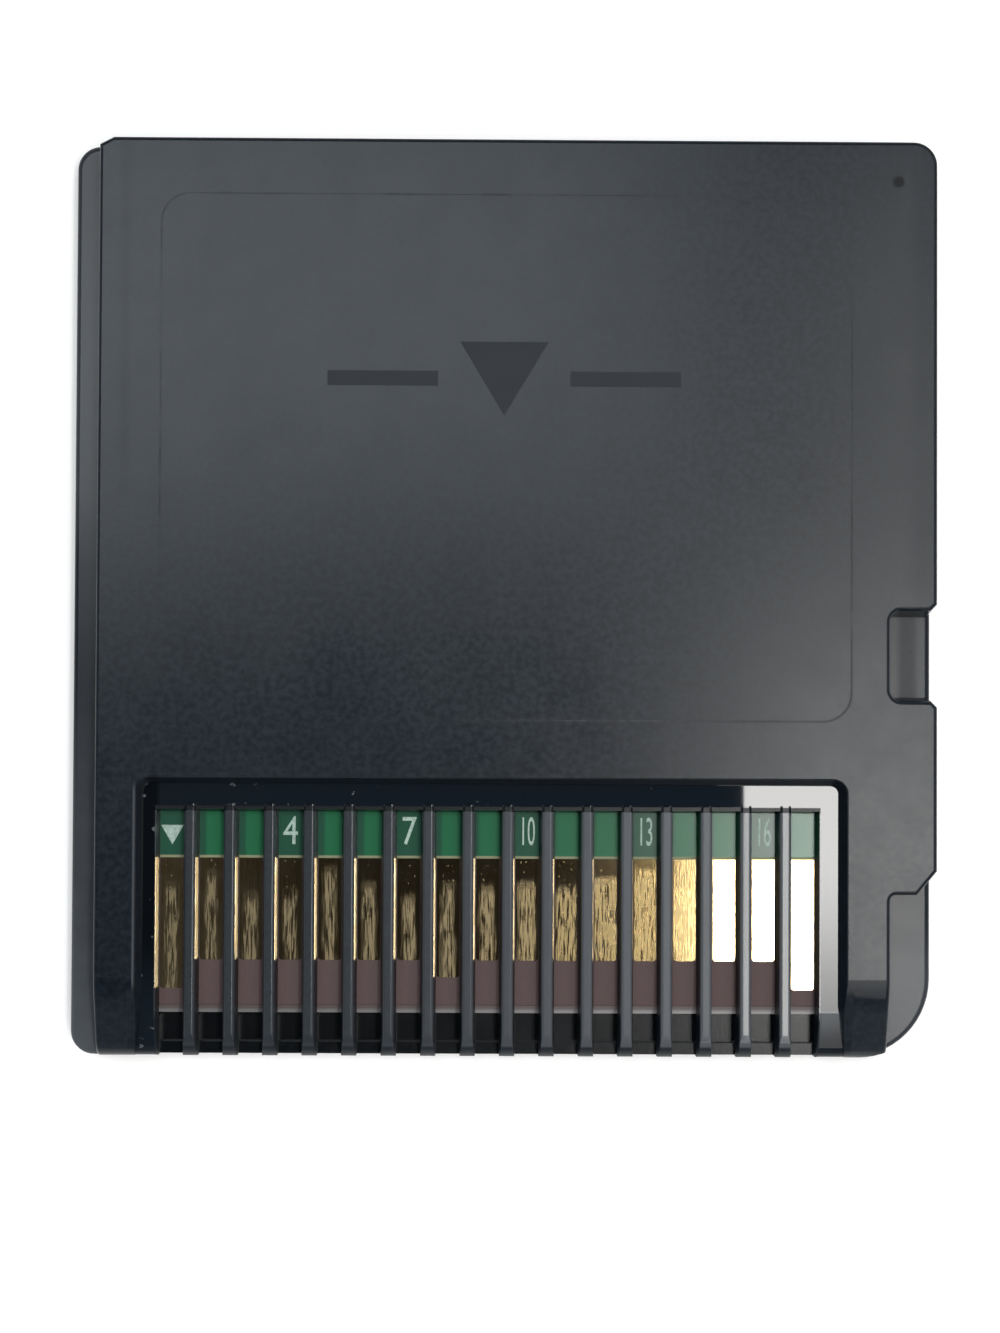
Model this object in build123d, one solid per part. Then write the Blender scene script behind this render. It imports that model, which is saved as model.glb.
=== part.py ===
from build123d import *

import math
import os

# Handheld-console game card: two welded shells around a contact board.
# The card lies label side down on Z = 0, with its contact edge towards -Y.
# X and Y are centred on the card, and every size is in millimetres.

# Outline of the card
CARD_LENGTH = 35.0
CORNER_RADIUS = 0.9
ROUND_CORNER_RADIUS = 3.0
LEFT_MARGIN = 2.577
RIGHT_MARGIN = 3.408

# Stack through the thickness, from the label side up
FLOOR_THICKNESS = 1.0
BOARD_THICKNESS = 0.8
CHIP_HEIGHT = 1.1
CHIP_CLEARANCE = 0.1
FACE_THICKNESS = 0.8

# Shell walls and edges
WALL = 0.9
SIDE_LEDGE_WIDTH = 1.07
COVER_CORNER_WIDTH = 0.54
COVER_CORNER_LENGTH = 0.28
FACE_EDGE_RADIUS = 0.15
LABEL_EDGE_RADIUS = 0.25
SEAM_RADIUS = 0.2
FILLET_SHARE = 0.9

# Lock notch in the right side of the rear shell
NOTCH_FROM_CONTACT_EDGE = 13.65
NOTCH_LENGTH = 3.45
NOTCH_DEPTH = 1.8
NOTCH_CORNER_RADIUS = 0.45
NOTCH_MOUTH_CHAMFER = 0.25
NOTCH_DRAFT = 5.0

# Key step at the right end of the contact edge
KEY_LENGTH = 6.3
KEY_WIDTH = 1.78
KEY_RAMP_LENGTH = 0.9
KEY_RAMP_WIDTH = 0.75
KEY_FILLET = 0.25

# Sloped nose at the contact edge
NOSE_LENGTH = 2.7
NOSE_DROP = 1.2
NOSE_RADIUS = 0.9
NOSE_BEND_RADIUS = 1.8
LABEL_NOSE_LENGTH = 0.8
LABEL_NOSE_RISE = 0.45

# Gold contacts on the board
CONTACT_COUNT = 17
CONTACT_PITCH = 1.515
CONTACT_WIDTH = 0.86
CONTACT_LENGTH = 3.9
CONTACT_THICKNESS = 0.04
CONTACT_CORNER_RADIUS = 0.12
CONTACT_FROM_BOARD_EDGE = 2.04
GROUND_CONTACTS = (1, 17)
GROUND_EXTRA_LENGTH = 1.1
SUPPLY_CONTACTS = (8,)
SUPPLY_EXTRA_LENGTH = 0.65

# Contact window with its ledge and ribs
WINDOW_LENGTH = 10.65
WINDOW_CORNER_RADIUS = 0.3
WINDOW_DRAFT = 14.0
RIM_CHAMFER = 0.05
LEDGE_DEPTH = 1.0
LEFT_LEDGE_WIDTH = 0.73
RIGHT_LEDGE_WIDTH = 0.95
LEDGE_END_WIDTH = 1.22
RIB_TOP_WIDTH = 0.42
RIB_EDGE_RADIUS = 0.11
RIB_RISE = 0.06
RIB_CLEARANCE = 0.03
RIB_ROOT = 0.2
RIB_NOSE_RADIUS = 0.9
MOUTH_FLARE = 0.3
MOUTH_FLARE_LENGTH = 2.0
LEAD_IN_LENGTH = 1.75
LEAD_IN_DROP = 0.55
LEAD_IN_RADIUS = 0.55

# Front bar and end legs that tie the ribs together below the board's edge
BAR_INSET = 0.08
BAR_WIDTH = 0.4
BAR_HEIGHT = 0.45
END_LEG_WIDTH = 0.6
LEG_CLEARANCE = 0.05

# Faint panel that the mould insert leaves on the rear face
PANEL_DEPTH = 0.03
PANEL_LEFT_MARGIN = 3.45
PANEL_RIGHT_MARGIN = 3.26
PANEL_TOP_MARGIN = 2.14
PANEL_FROM_WINDOW = 2.2
PANEL_CORNER_RADIUS = 1.1

# Bare recess on the label side
RECESS_DEPTH = 0.2
RECESS_SIDE_MARGIN = 2.75
RECESS_TOP_MARGIN = 2.2
RECESS_BOTTOM_MARGIN = 5.3
RECESS_CORNER_RADIUS = 1.0

# Circuit board and the half-round posts that locate it
BOARD_CLEARANCE = 0.1
BOARD_FROM_CONTACT_EDGE = 1.61
BOARD_CORNER_RADIUS = 0.5
BOARD_BEVEL = 0.33
POST_RADIUS = 0.8
POST_FROM_CONTACT_EDGE = 14.5

# Memory chips, each a moulded body with bent leads
CHIP_STANDOFF = 0.05
CHIP_EDGE_CHAMFER = 0.15
CHIP_MARK_RADIUS = 0.5
CHIP_MARK_DEPTH = 0.1
CHIP_FROM_BOARD_TOP = 1.6
LEAD_THICKNESS = 0.12
LEAD_REACH = 1.0
LEAD_FOOT = 0.45
LEAD_SHOULDER = 0.25
ROM_WIDTH = 10.0
ROM_LENGTH = 10.4
ROM_FROM_LEFT = 1.5
ROM_LEADS_PER_SIDE = 12
ROM_LEAD_PITCH = 0.8
ROM_LEAD_WIDTH = 0.32
SAVE_WIDTH = 3.9
SAVE_LENGTH = 4.9
SAVE_FROM_RIGHT = 1.0
SAVE_LEADS_PER_SIDE = 4
SAVE_LEAD_PITCH = 1.27
SAVE_LEAD_WIDTH = 0.42

# Small parts beside the chips
CAPACITOR_COUNT = 3
CAPACITOR_LENGTH = 1.6
CAPACITOR_WIDTH = 0.8
CAPACITOR_HEIGHT = 0.8
CAPACITOR_PITCH = 1.8
CAPACITOR_FROM_CHIP = 0.9
RESISTOR_COUNT = 2
RESISTOR_LENGTH = 1.0
RESISTOR_WIDTH = 0.5
RESISTOR_HEIGHT = 0.35
RESISTOR_PITCH = 2.6
END_CAP_SHARE = 0.22
END_CAP_STEP = 0.03

# Heights of the stack
floor_z = FLOOR_THICKNESS
seam_z = floor_z + BOARD_THICKNESS
bay_z = seam_z + CHIP_HEIGHT + CHIP_CLEARANCE
face_z = bay_z + FACE_THICKNESS
ledge_z = face_z - LEDGE_DEPTH
rib_z = ledge_z + RIB_RISE

# Window and contact row, across the card
row_half = CONTACT_PITCH * (CONTACT_COUNT - 1) / 2
opening_foot_half = row_half + CONTACT_WIDTH / 2 + RIB_CLEARANCE
rib_foot_width = CONTACT_PITCH - CONTACT_WIDTH - 2 * RIB_CLEARANCE
rib_flare = (rib_foot_width - RIB_TOP_WIDTH) / 2
opening_top_half = opening_foot_half + rib_flare
window_width = LEFT_LEDGE_WIDTH + 2 * opening_top_half + RIGHT_LEDGE_WIDTH
card_width = LEFT_MARGIN + window_width + RIGHT_MARGIN
left_x = -card_width / 2
right_x = card_width / 2
window_left_x = left_x + LEFT_MARGIN
window_right_x = right_x - RIGHT_MARGIN
row_x = window_left_x + LEFT_LEDGE_WIDTH + opening_top_half

# Lines along the card
edge_y = -CARD_LENGTH / 2
top_y = CARD_LENGTH / 2
window_y = edge_y + WINDOW_LENGTH
opening_y = window_y - LEDGE_END_WIDTH
bay_bottom_y = window_y + WALL
bay_top_y = top_y - WALL

# Pocket that holds the board, and the board in it
cover_left_x = left_x + SIDE_LEDGE_WIDTH
tray_left_x = cover_left_x + WALL
tray_right_x = right_x - max(NOTCH_DEPTH, KEY_WIDTH) - WALL
board_left_x = tray_left_x + BOARD_CLEARANCE
board_right_x = tray_right_x - BOARD_CLEARANCE
board_top_y = bay_top_y - BOARD_CLEARANCE
board_edge_y = edge_y + BOARD_FROM_CONTACT_EDGE
tray_edge_y = board_edge_y - BOARD_CLEARANCE
post_y = edge_y + POST_FROM_CONTACT_EDGE
contact_end_y = board_edge_y + CONTACT_FROM_BOARD_EDGE

# Cutting tools run past the part: a long way out, or just clear of a face
beyond = card_width
past = WALL


def area(x0, x1, y0, y1):
    """Rectangle between two corners."""
    return Pos((x0 + x1) / 2, (y0 + y1) / 2) * Rectangle(x1 - x0, y1 - y0)


def slab(sketch, z0, z1):
    """Plan sketch made solid between two heights."""
    return extrude(Pos(0, 0, z0) * sketch, amount=z1 - z0)


def side_slab(sketch, reach):
    """Side profile, drawn in Y and Z, made solid both ways along X."""
    return extrude(Plane.YZ * sketch, amount=reach, both=True)


def end_slab(sketch, reach):
    """Cross-section, drawn in X and Z, made solid both ways along Y."""
    return extrude(Plane.XZ * sketch, amount=reach, both=True)


def polygon(*points):
    """Closed outline through points that keep their places."""
    return Polygon(*points, align=None)


def round_corner(sketch, point, radius):
    """Round the corner of a sketch that is nearest to a point."""
    return fillet(sketch.vertices().sort_by_distance(point)[0], radius)


def card_outline():
    """Outline of the whole card, with its one large corner."""
    outline = Rectangle(card_width, CARD_LENGTH)
    outline = round_corner(outline, (left_x, top_y), CORNER_RADIUS)
    outline = round_corner(outline, (right_x, top_y), CORNER_RADIUS)
    outline = round_corner(outline, (left_x, edge_y), CORNER_RADIUS)
    return round_corner(outline, (right_x, edge_y), ROUND_CORNER_RADIUS)


def side_ledge_area():
    """Strip at the left that the rear shell leaves open."""
    return polygon(
        (left_x - beyond, edge_y - beyond),
        (cover_left_x, edge_y - beyond),
        (cover_left_x, top_y - COVER_CORNER_LENGTH),
        (cover_left_x + COVER_CORNER_WIDTH, top_y),
        (cover_left_x + COVER_CORNER_WIDTH, top_y + beyond),
        (left_x - beyond, top_y + beyond),
    )


def notch_area():
    """Lock notch: rounded inside, chamfered at its mouth."""
    inner_x = right_x - NOTCH_DEPTH
    mouth_x = right_x - NOTCH_MOUTH_CHAMFER
    low_y = edge_y + NOTCH_FROM_CONTACT_EDGE
    high_y = low_y + NOTCH_LENGTH
    spread = NOTCH_MOUTH_CHAMFER + past
    notch = polygon(
        (inner_x, low_y),
        (mouth_x, low_y),
        (right_x + past, low_y - spread),
        (right_x + past, high_y + spread),
        (mouth_x, high_y),
        (inner_x, high_y),
    )
    notch = round_corner(notch, (inner_x, low_y), NOTCH_CORNER_RADIUS)
    return round_corner(notch, (inner_x, high_y), NOTCH_CORNER_RADIUS)


def key_area():
    """Key step: a ramp from the side, then a straight shoulder."""
    inner_x = right_x - KEY_WIDTH
    shoulder_y = edge_y + KEY_LENGTH
    ramp_slope = KEY_RAMP_LENGTH / KEY_RAMP_WIDTH
    key = polygon(
        (inner_x, edge_y - beyond),
        (right_x + past, edge_y - beyond),
        (right_x + past, shoulder_y + KEY_RAMP_LENGTH + past * ramp_slope),
        (right_x - KEY_RAMP_WIDTH, shoulder_y),
        (inner_x, shoulder_y),
    )
    return round_corner(key, (inner_x, shoulder_y), KEY_FILLET)


def cover_side():
    """Side profile of the rear shell: flat face, sloped nose, rounded tip."""
    tip_z = face_z - NOSE_DROP
    turn = math.pi / 2 - math.atan2(NOSE_DROP, NOSE_LENGTH)
    largest_radius = FILLET_SHARE * (tip_z - seam_z) / math.tan(turn / 2)
    profile = polygon(
        (top_y, seam_z),
        (top_y, face_z),
        (edge_y + NOSE_LENGTH, face_z),
        (edge_y, tip_z),
        (edge_y, seam_z),
    )
    profile = round_corner(profile, (edge_y, tip_z), min(NOSE_RADIUS, largest_radius))
    return round_corner(profile, (edge_y + NOSE_LENGTH, face_z), NOSE_BEND_RADIUS)


def ledge_side():
    """Side profile of the ledge: flat, then sloped and rounded down at the mouth."""
    mouth_z = ledge_z - LEAD_IN_DROP
    profile = polygon(
        (window_y + past, seam_z),
        (window_y + past, ledge_z),
        (edge_y + LEAD_IN_LENGTH, ledge_z),
        (edge_y, mouth_z),
        (edge_y, seam_z),
    )
    return round_corner(profile, (edge_y, mouth_z), LEAD_IN_RADIUS)


def window_pocket():
    """Recess over the ledge: drafted walls, flared mouth and chamfered rim."""
    draft = math.tan(math.radians(WINDOW_DRAFT))
    low_x = window_left_x + LEDGE_DEPTH * draft
    high_x = window_right_x - LEDGE_DEPTH * draft
    high_y = window_y - LEDGE_DEPTH * draft
    flare_y = edge_y + MOUTH_FLARE_LENGTH
    spread = MOUTH_FLARE * (1 + beyond / MOUTH_FLARE_LENGTH)
    plan = polygon(
        (low_x - spread, edge_y - beyond),
        (high_x + spread, edge_y - beyond),
        (high_x, flare_y),
        (high_x, high_y),
        (low_x, high_y),
        (low_x, flare_y),
    )
    plan = round_corner(plan, (low_x, high_y), WINDOW_CORNER_RADIUS)
    plan = round_corner(plan, (high_x, high_y), WINDOW_CORNER_RADIUS)
    walls = extrude(Pos(0, 0, ledge_z) * plan, amount=face_z + past - ledge_z, taper=-WINDOW_DRAFT)
    rim_plan = offset(plan, (LEDGE_DEPTH - RIM_CHAMFER) * draft)
    rim = extrude(Pos(0, 0, face_z - RIM_CHAMFER) * rim_plan, amount=2 * RIM_CHAMFER, taper=-45)
    mouth = slab(plan, seam_z, ledge_z) - side_slab(ledge_side(), beyond)
    return walls + rim + mouth


def contact_opening():
    """Space above the contacts, with the same sloped walls as the ribs."""
    section = polygon(
        (row_x - opening_foot_half, floor_z),
        (row_x + opening_foot_half, floor_z),
        (row_x + opening_foot_half, seam_z),
        (row_x + opening_top_half, ledge_z),
        (row_x + opening_top_half, face_z),
        (row_x - opening_top_half, face_z),
        (row_x - opening_top_half, ledge_z),
        (row_x - opening_foot_half, seam_z),
    )
    side = polygon(
        (edge_y - past, floor_z),
        (opening_y - rib_flare, floor_z),
        (opening_y - rib_flare, seam_z),
        (opening_y, ledge_z),
        (opening_y, face_z),
        (edge_y - past, face_z),
    )
    return end_slab(section, CARD_LENGTH) & side_slab(side, beyond)


def rib():
    """One rib on X = 0: sloped sides, rounded front, leg past the board's edge."""
    section = polygon(
        (-rib_foot_width / 2, floor_z),
        (rib_foot_width / 2, floor_z),
        (rib_foot_width / 2, seam_z),
        (RIB_TOP_WIDTH / 2, rib_z),
        (-RIB_TOP_WIDTH / 2, rib_z),
        (-rib_foot_width / 2, seam_z),
    )
    section = fillet(section.vertices().group_by(Axis.Y)[-1], RIB_EDGE_RADIUS)
    side = polygon(
        (opening_y + RIB_ROOT, seam_z),
        (opening_y + RIB_ROOT, rib_z),
        (edge_y, rib_z),
        (edge_y, floor_z),
        (tray_edge_y, floor_z),
        (tray_edge_y, seam_z),
    )
    side = round_corner(side, (edge_y, rib_z), RIB_NOSE_RADIUS)
    return end_slab(section, CARD_LENGTH) & side_slab(side, CONTACT_PITCH)


def front_bar():
    """Low bar along the contact edge with a leg at each end."""
    bar_y = edge_y + BAR_INSET
    end_half = opening_foot_half + END_LEG_WIDTH
    bar_area = area(row_x - end_half, row_x + end_half, bar_y, bar_y + BAR_WIDTH)
    bar = slab(bar_area, floor_z, floor_z + BAR_HEIGHT)
    for side in (-1, 1):
        leg_x = row_x + side * (opening_foot_half + END_LEG_WIDTH / 2)
        leg_plan = Pos(leg_x, (edge_y + tray_edge_y) / 2) * Rectangle(END_LEG_WIDTH, tray_edge_y - edge_y)
        bar += slab(leg_plan, floor_z, seam_z)
    return bar


def brow_edges(shell):
    """Edges where the face and the nose turn down into the walls, behind the rounded tip."""
    top_edges = ShapeList()
    wall_edges = ShapeList()
    for face in shell.faces():
        upward = face.normal_at().Z
        if upward > 0.2:
            top_edges += face.edges()
        elif upward > -0.2:
            wall_edges += face.edges()
    brow = ShapeList(edge for edge in top_edges if edge in wall_edges)
    return brow.filter_by(lambda edge: edge.center().Y > edge_y + NOSE_RADIUS / 2)


def make_rear_shell():
    """Contact-side half: face, notch, key step, nose and ribbed window."""
    outline = card_outline() - side_ledge_area() - key_area()
    shell = slab(outline, seam_z, face_z) & side_slab(cover_side(), beyond)
    shell -= extrude(Pos(0, 0, face_z) * notch_area(), amount=seam_z - face_z, taper=NOTCH_DRAFT)
    shell = fillet(brow_edges(shell), FACE_EDGE_RADIUS)

    keep_low = edge_y + NOTCH_FROM_CONTACT_EDGE - WALL
    keep_high = keep_low + NOTCH_LENGTH + 2 * WALL
    bay_right_x = right_x - WALL
    bay = area(tray_left_x, bay_right_x, bay_bottom_y, bay_top_y)
    bay -= area(tray_right_x, bay_right_x, keep_low, keep_high)
    shell -= slab(bay, seam_z, bay_z)

    panel = area(
        left_x + PANEL_LEFT_MARGIN,
        right_x - PANEL_RIGHT_MARGIN,
        window_y + PANEL_FROM_WINDOW,
        top_y - PANEL_TOP_MARGIN,
    )
    panel = fillet(panel.vertices(), PANEL_CORNER_RADIUS)
    shell -= slab(panel, face_z - PANEL_DEPTH, face_z + PANEL_DEPTH)

    shell -= window_pocket()
    shell -= contact_opening()
    shell += front_bar()
    first_rib = rib()
    for gap in range(CONTACT_COUNT - 1):
        shell += Pos(row_x - row_half + (gap + 0.5) * CONTACT_PITCH, 0) * first_rib
    return shell


def make_front_shell():
    """Label-side half: tray for the board, open mouth, bare label recess."""
    shell = slab(card_outline(), 0, seam_z)
    shell = fillet(shell.edges().group_by(Axis.Z)[-1], SEAM_RADIUS)
    shell = fillet(shell.edges().group_by(Axis.Z)[0], LABEL_EDGE_RADIUS)
    nose = polygon(
        (edge_y, LABEL_NOSE_RISE),
        (edge_y + LABEL_NOSE_LENGTH, 0),
        (edge_y + LABEL_NOSE_LENGTH, -past),
        (edge_y - past, -past),
        (edge_y - past, LABEL_NOSE_RISE),
    )
    shell -= side_slab(nose, beyond)

    shell -= slab(area(tray_left_x, tray_right_x, tray_edge_y, bay_top_y), floor_z, face_z)
    mouth_half = opening_foot_half + END_LEG_WIDTH + LEG_CLEARANCE
    mouth = area(row_x - mouth_half, row_x + mouth_half, edge_y - past, tray_edge_y)
    shell -= slab(mouth, floor_z, face_z)

    recess = area(
        left_x + RECESS_SIDE_MARGIN,
        right_x - RECESS_SIDE_MARGIN,
        edge_y + RECESS_BOTTOM_MARGIN,
        top_y - RECESS_TOP_MARGIN,
    )
    recess = fillet(recess.vertices(), RECESS_CORNER_RADIUS)
    shell -= slab(recess, -RECESS_DEPTH, RECESS_DEPTH)

    for post_x in (tray_left_x, tray_right_x):
        shell += slab(Pos(post_x, post_y) * Circle(POST_RADIUS), floor_z, seam_z)
    return shell


def make_circuit_board():
    """Board with rounded corners, locating notches and a bevelled contact edge."""
    plan = area(board_left_x, board_right_x, board_edge_y, board_top_y)
    plan = fillet(plan.vertices(), BOARD_CORNER_RADIUS)
    for post_x in (tray_left_x, tray_right_x):
        plan -= Pos(post_x, post_y) * Circle(POST_RADIUS + BOARD_CLEARANCE)
    board = slab(plan, floor_z, seam_z)
    bevel = polygon(
        (board_edge_y, floor_z + BOARD_BEVEL),
        (board_edge_y + BOARD_BEVEL, floor_z),
        (board_top_y, floor_z),
        (board_top_y, seam_z),
        (board_edge_y + BOARD_BEVEL, seam_z),
        (board_edge_y, seam_z - BOARD_BEVEL),
    )
    return board & side_slab(bevel, beyond)


def make_contact(number):
    """One gold pad, counted from the left."""
    length = CONTACT_LENGTH
    if number in GROUND_CONTACTS:
        length += GROUND_EXTRA_LENGTH
    if number in SUPPLY_CONTACTS:
        length += SUPPLY_EXTRA_LENGTH
    x = row_x - row_half + (number - 1) * CONTACT_PITCH
    start_y = contact_end_y + CONTACT_LENGTH
    pad = area(x - CONTACT_WIDTH / 2, x + CONTACT_WIDTH / 2, start_y - length, start_y)
    pad = fillet(pad.vertices().group_by(Axis.Y)[0], CONTACT_CORNER_RADIUS)
    return slab(pad, seam_z, seam_z + CONTACT_THICKNESS)


def make_chip_body(x, y, width, length):
    """Moulded chip body with chamfered top edges and a first-pin dimple."""
    body = slab(Pos(x, y) * Rectangle(width, length), seam_z + CHIP_STANDOFF, seam_z + CHIP_HEIGHT)
    body = chamfer(body.edges().group_by(Axis.Z)[-1], CHIP_EDGE_CHAMFER)
    mark_inset = CHIP_EDGE_CHAMFER + 2 * CHIP_MARK_RADIUS
    mark = Pos(x - width / 2 + mark_inset, y + length / 2 - mark_inset) * Circle(CHIP_MARK_RADIUS)
    top_z = seam_z + CHIP_HEIGHT
    return body - slab(mark, top_z - CHIP_MARK_DEPTH, top_z + CHIP_MARK_DEPTH)


def make_chip_leads(x, y, body_width, per_side, pitch, lead_width):
    """Bent leads along the two sides of a chip body."""
    middle_z = seam_z + CHIP_STANDOFF + (CHIP_HEIGHT - CHIP_STANDOFF) / 2
    half = LEAD_THICKNESS / 2
    knee = LEAD_REACH - LEAD_FOOT
    bend = polygon(
        (0, middle_z - half),
        (LEAD_SHOULDER - half, middle_z - half),
        (knee - half, seam_z),
        (LEAD_REACH, seam_z),
        (LEAD_REACH, seam_z + LEAD_THICKNESS),
        (knee + half, seam_z + LEAD_THICKNESS),
        (LEAD_SHOULDER + half, middle_z + half),
        (0, middle_z + half),
    )
    lead = end_slab(bend, lead_width / 2)
    leads = []
    for turn in (0, 180):
        for index in range(per_side):
            along = (index - (per_side - 1) / 2) * pitch
            leads.append(Pos(x, y) * Rot(0, 0, turn) * Pos(body_width / 2, along) * lead)
    return Compound(children=leads)


def make_small_part(x, y, width, length, height):
    """Capacitor or resistor: a body between two slightly proud end caps."""
    cap_length = length * END_CAP_SHARE
    waist_length = length - 2 * cap_length
    blank = slab(Pos(x, y) * Rectangle(width, length), seam_z, seam_z + height)
    waist = slab(Pos(x, y) * Rectangle(width, waist_length), seam_z, seam_z + height)
    core = Pos(x, y) * Rectangle(width - 2 * END_CAP_STEP, waist_length)
    return blank - waist + slab(core, seam_z + END_CAP_STEP, seam_z + height - END_CAP_STEP)


def make_all():
    """Every piece of the card by its name."""
    pieces = {
        "front_shell": make_front_shell(),
        "rear_shell": make_rear_shell(),
        "circuit_board": make_circuit_board(),
    }
    for number in range(1, CONTACT_COUNT + 1):
        pieces[f"contact_{number:02d}"] = make_contact(number)

    chip_top_y = board_top_y - CHIP_FROM_BOARD_TOP
    rom_x = board_left_x + ROM_FROM_LEFT + LEAD_REACH + ROM_WIDTH / 2
    rom_y = chip_top_y - ROM_LENGTH / 2
    pieces["rom_chip"] = make_chip_body(rom_x, rom_y, ROM_WIDTH, ROM_LENGTH)
    pieces["rom_leads"] = make_chip_leads(
        rom_x, rom_y, ROM_WIDTH, ROM_LEADS_PER_SIDE, ROM_LEAD_PITCH, ROM_LEAD_WIDTH
    )
    save_x = board_right_x - SAVE_FROM_RIGHT - LEAD_REACH - SAVE_WIDTH / 2
    save_y = chip_top_y - SAVE_LENGTH / 2
    pieces["save_chip"] = make_chip_body(save_x, save_y, SAVE_WIDTH, SAVE_LENGTH)
    pieces["save_leads"] = make_chip_leads(
        save_x, save_y, SAVE_WIDTH, SAVE_LEADS_PER_SIDE, SAVE_LEAD_PITCH, SAVE_LEAD_WIDTH
    )

    capacitor_y = save_y - SAVE_LENGTH / 2 - CAPACITOR_FROM_CHIP - CAPACITOR_LENGTH / 2
    for index in range(CAPACITOR_COUNT):
        x = save_x + (index - (CAPACITOR_COUNT - 1) / 2) * CAPACITOR_PITCH
        pieces[f"capacitor_{index + 1}"] = make_small_part(
            x, capacitor_y, CAPACITOR_WIDTH, CAPACITOR_LENGTH, CAPACITOR_HEIGHT
        )
    rom_side_x = rom_x + ROM_WIDTH / 2 + LEAD_REACH
    save_side_x = save_x - SAVE_WIDTH / 2 - LEAD_REACH
    for index in range(RESISTOR_COUNT):
        y = rom_y + (index - (RESISTOR_COUNT - 1) / 2) * RESISTOR_PITCH
        pieces[f"resistor_{index + 1}"] = make_small_part(
            (rom_side_x + save_side_x) / 2, y, RESISTOR_WIDTH, RESISTOR_LENGTH, RESISTOR_HEIGHT
        )
    return pieces


os.makedirs("parts", exist_ok=True)
for name, piece in make_all().items():
    export_step(piece, f"parts/{name}.step")
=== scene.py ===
import math
from typing import NamedTuple

import bpy
from bpy.props import FloatProperty, FloatVectorProperty, IntProperty, PointerProperty
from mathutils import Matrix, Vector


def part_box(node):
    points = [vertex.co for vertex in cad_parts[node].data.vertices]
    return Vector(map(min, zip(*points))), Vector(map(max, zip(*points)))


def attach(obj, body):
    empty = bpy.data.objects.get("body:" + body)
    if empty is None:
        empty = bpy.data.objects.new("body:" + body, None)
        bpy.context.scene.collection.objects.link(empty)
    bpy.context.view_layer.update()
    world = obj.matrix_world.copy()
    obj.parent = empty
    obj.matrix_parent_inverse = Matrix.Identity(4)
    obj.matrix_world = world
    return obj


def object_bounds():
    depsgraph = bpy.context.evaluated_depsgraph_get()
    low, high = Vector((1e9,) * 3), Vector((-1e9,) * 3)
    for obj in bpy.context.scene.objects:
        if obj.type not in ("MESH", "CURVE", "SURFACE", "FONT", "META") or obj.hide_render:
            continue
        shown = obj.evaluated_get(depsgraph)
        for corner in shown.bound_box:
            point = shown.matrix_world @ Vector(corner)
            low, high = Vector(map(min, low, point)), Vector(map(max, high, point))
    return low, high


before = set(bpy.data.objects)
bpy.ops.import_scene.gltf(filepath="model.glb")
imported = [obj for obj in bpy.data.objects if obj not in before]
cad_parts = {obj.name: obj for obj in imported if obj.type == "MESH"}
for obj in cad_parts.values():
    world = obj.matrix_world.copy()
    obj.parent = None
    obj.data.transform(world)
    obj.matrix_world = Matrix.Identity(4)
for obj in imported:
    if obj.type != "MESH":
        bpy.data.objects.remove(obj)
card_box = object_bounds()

# Looks of a handheld game card: finishes, insertion arrow, board print and a pale studio.
# The card lies on Z = 0 with its contact edge towards -Y. Lengths are metres, patterns millimetres.

bl_info = {
    "name": "Game Card Looks",
    "version": (1, 0, 0),
    "blender": (4, 5, 0),
    "location": "View3D > Sidebar > Game Card",
    "description": "Finishes a handheld game card and sets it in a pale studio",
    "category": "Object",
}

MM = 0.001
BODY = "root"
CORNER_STEPS = 6

# Half the soft end of a mask, in millimetres, and the middle of a noise
SOFT = 0.02
MIDDLE = 0.5

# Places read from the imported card, in millimetres
pad_low, pad_high = (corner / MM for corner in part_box("contact_01"))
next_pad_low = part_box("contact_02")[0] / MM
last_pad_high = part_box("contact_17")[1] / MM
board_low, board_high = (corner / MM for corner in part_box("circuit_board"))
rear_low, rear_high = (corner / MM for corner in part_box("rear_shell"))
front_low, front_high = (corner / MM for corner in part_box("front_shell"))

pad_pitch = next_pad_low.x - pad_low.x
pad_x = (pad_low.x + pad_high.x) / 2
pad_top_y = pad_high.y
board_z = board_high.z
face_z = rear_high.z


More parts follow.
